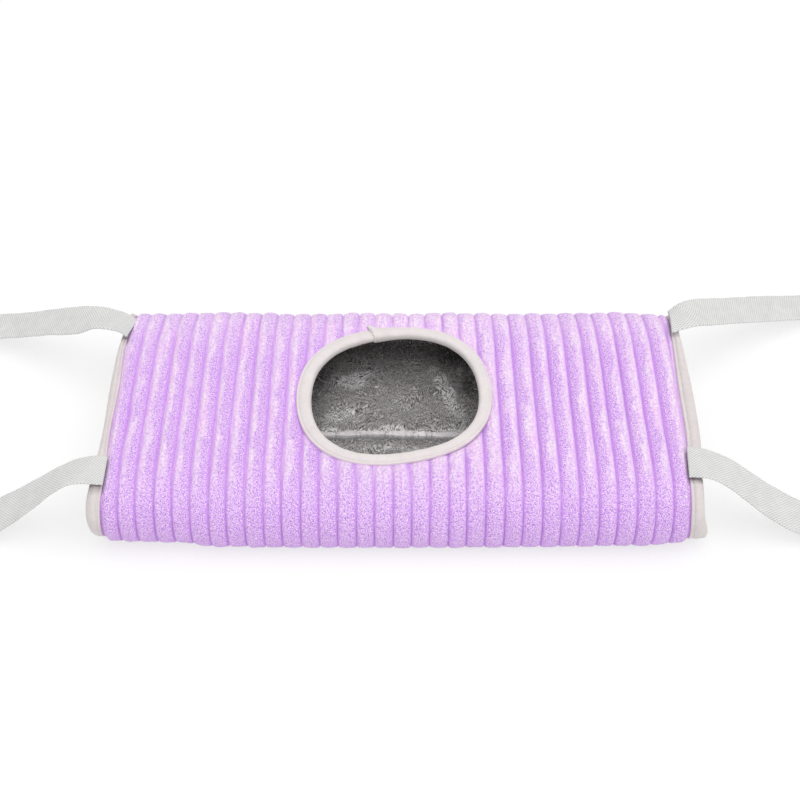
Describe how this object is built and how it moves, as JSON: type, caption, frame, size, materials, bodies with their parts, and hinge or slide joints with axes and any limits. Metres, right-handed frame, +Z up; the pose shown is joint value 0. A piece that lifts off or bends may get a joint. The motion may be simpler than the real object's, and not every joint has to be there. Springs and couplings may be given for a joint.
{
  "type": "pet hammock",
  "caption": "Flattened fabric tunnel with wide ribs, a round window in its top, bound edges, a plush lining, and webbing straps that end in swivel bolt snaps.",
  "frame": {"origin": "under the middle of the tunnel, on the surface that it rests on", "axes": "+X to the right along the tunnel, +Y to the back, +Z up through the window"},
  "size_m": [0.6492, 0.2311, 0.0438],
  "materials": {
    "corduroy": "wide-rib corduroy",
    "wadding": "bonded wadding",
    "plush": "short plush",
    "tape": "folded bias tape",
    "webbing": "fine twill webbing",
    "metal": "nickel plate",
    "spring": "drawn wire"
  },
  "bodies": {
    "sleeve": {"outer_sleeve": "corduroy", "wadding": "wadding", "lining_sleeve": "plush", "window_binding": "tape", "left_end_binding": "tape", "right_end_binding": "tape"},
    "front_left_strap": {"front_left_strap": "webbing"},
    "front_left_eye": {"front_left_snap_eye": "metal"},
    "front_left_snap": {"front_left_snap_body": "metal"},
    "front_left_bolt": {"front_left_snap_bolt": "metal", "front_left_snap_spring": "spring"},
    "front_right_strap": {"front_right_strap": "webbing"},
    "front_right_eye": {"front_right_snap_eye": "metal"},
    "front_right_snap": {"front_right_snap_body": "metal"},
    "front_right_bolt": {"front_right_snap_bolt": "metal", "front_right_snap_spring": "spring"},
    "rear_left_strap": {"rear_left_strap": "webbing"},
    "rear_left_eye": {"rear_left_snap_eye": "metal"},
    "rear_left_snap": {"rear_left_snap_body": "metal"},
    "rear_left_bolt": {"rear_left_snap_bolt": "metal", "rear_left_snap_spring": "spring"},
    "rear_right_strap": {"rear_right_strap": "webbing"},
    "rear_right_eye": {"rear_right_snap_eye": "metal"},
    "rear_right_snap": {"rear_right_snap_body": "metal"},
    "rear_right_bolt": {"rear_right_snap_bolt": "metal", "rear_right_snap_spring": "spring"}
  },
  "joints": [
    {"name": "front_left_strap_lift", "type": "hinge", "parent": "sleeve", "child": "front_left_strap", "pos_m": [-0.1443, -0.05341, 0.0422], "axis": [0, 1, 0], "range_deg": [0, 110]},
    {"name": "front_left_eye_swing", "type": "hinge", "parent": "front_left_strap", "child": "front_left_eye", "pos_m": [-0.27839, -0.05809, 0.0032], "axis": [-0.0349, 0.9994, 0], "range_deg": [0, 90]},
    {"name": "front_left_snap_swivel", "type": "hinge", "parent": "front_left_eye", "child": "front_left_snap", "pos_m": [-0.27839, -0.05809, 0.0032], "axis": [-0.9994, -0.0349, 0], "continuous": true},
    {"name": "front_left_bolt_slide", "type": "slide", "parent": "front_left_snap", "child": "front_left_bolt", "axis": [0.9994, 0.0349, 0], "range_m": [0, 0.006], "stiffness_N_per_m": 250, "springref_m": -0.004},
    {"name": "front_right_strap_lift", "type": "hinge", "parent": "sleeve", "child": "front_right_strap", "pos_m": [0.1443, -0.04796, 0.0422], "axis": [0, -1, 0], "range_deg": [0, 110]},
    {"name": "front_right_eye_swing", "type": "hinge", "parent": "front_right_strap", "child": "front_right_eye", "pos_m": [0.27822, -0.06678, 0.0032], "axis": [-0.1392, -0.9903, 0], "range_deg": [0, 90]},
    {"name": "front_right_snap_swivel", "type": "hinge", "parent": "front_right_eye", "child": "front_right_snap", "pos_m": [0.27822, -0.06678, 0.0032], "axis": [0.9903, -0.1392, 0], "continuous": true},
    {"name": "front_right_bolt_slide", "type": "slide", "parent": "front_right_snap", "child": "front_right_bolt", "axis": [-0.9903, 0.1392, 0], "range_m": [0, 0.006], "stiffness_N_per_m": 250, "springref_m": -0.004},
    {"name": "rear_left_strap_lift", "type": "hinge", "parent": "sleeve", "child": "rear_left_strap", "pos_m": [-0.1443, 0.05123, 0.0422], "axis": [0, 1, 0], "range_deg": [0, 110]},
    {"name": "rear_left_eye_swing", "type": "hinge", "parent": "rear_left_strap", "child": "rear_left_eye", "pos_m": [-0.27127, 0.10512, 0.0032], "axis": [0.3907, 0.9205, 0], "range_deg": [0, 90]},
    {"name": "rear_left_snap_swivel", "type": "hinge", "parent": "rear_left_eye", "child": "rear_left_snap", "pos_m": [-0.27127, 0.10512, 0.0032], "axis": [-0.9205, 0.3907, 0], "continuous": true},
    {"name": "rear_left_bolt_slide", "type": "slide", "parent": "rear_left_snap", "child": "rear_left_bolt", "axis": [0.9205, -0.3907, 0], "range_m": [0, 0.006], "stiffness_N_per_m": 250, "springref_m": -0.004},
    {"name": "rear_right_strap_lift", "type": "hinge", "parent": "sleeve", "child": "rear_right_strap", "pos_m": [0.1443, 0.05559, 0.0422], "axis": [0, -1, 0], "range_deg": [0, 110]},
    {"name": "rear_right_eye_swing", "type": "hinge", "parent": "rear_right_strap", "child": "rear_right_eye", "pos_m": [0.26536, 0.12269, 0.0032], "axis": [0.4848, -0.8746, 0], "range_deg": [0, 90]},
    {"name": "rear_right_snap_swivel", "type": "hinge", "parent": "rear_right_eye", "child": "rear_right_snap", "pos_m": [0.26536, 0.12269, 0.0032], "axis": [0.8746, 0.4848, 0], "continuous": true},
    {"name": "rear_right_bolt_slide", "type": "slide", "parent": "rear_right_snap", "child": "rear_right_bolt", "axis": [-0.8746, -0.4848, 0], "range_m": [0, 0.006], "stiffness_N_per_m": 250, "springref_m": -0.004}
  ]
}
